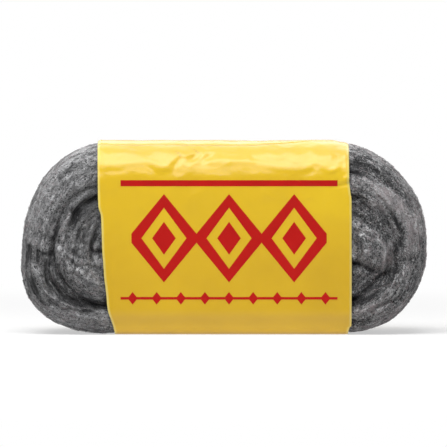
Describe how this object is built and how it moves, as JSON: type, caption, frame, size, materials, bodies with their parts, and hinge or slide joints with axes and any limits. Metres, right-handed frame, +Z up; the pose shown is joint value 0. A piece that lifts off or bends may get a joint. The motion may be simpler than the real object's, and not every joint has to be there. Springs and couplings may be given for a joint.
{
  "type": "steel wool roll",
  "caption": "Oval hank of wound steel wool, held flat by a yellow plastic film sleeve with a red print, resting on its flat underside.",
  "frame": {"origin": "middle of the flat underside, at the centre of the bounding box's base", "axes": "+X along the roll, +Y from the printed broad front towards the back, +Z up"},
  "size_m": [0.1606, 0.0544, 0.0772],
  "materials": {
    "steel_wool": "dull grey tangle of fine steel fibres, with bright glints",
    "yellow_film": "thin glossy plastic film, slightly creased",
    "red_ink": "red ink printed on the film"
  },
  "bodies": {
    "root": {"wool_roll": "steel_wool", "sleeve": "yellow_film", "print_lozenges": "red_ink", "print_diamond_1": "red_ink", "print_diamond_2": "red_ink", "print_diamond_3": "red_ink", "print_upper_rule": "red_ink", "print_beaded_rule": "red_ink"}
  },
  "joints": []
}
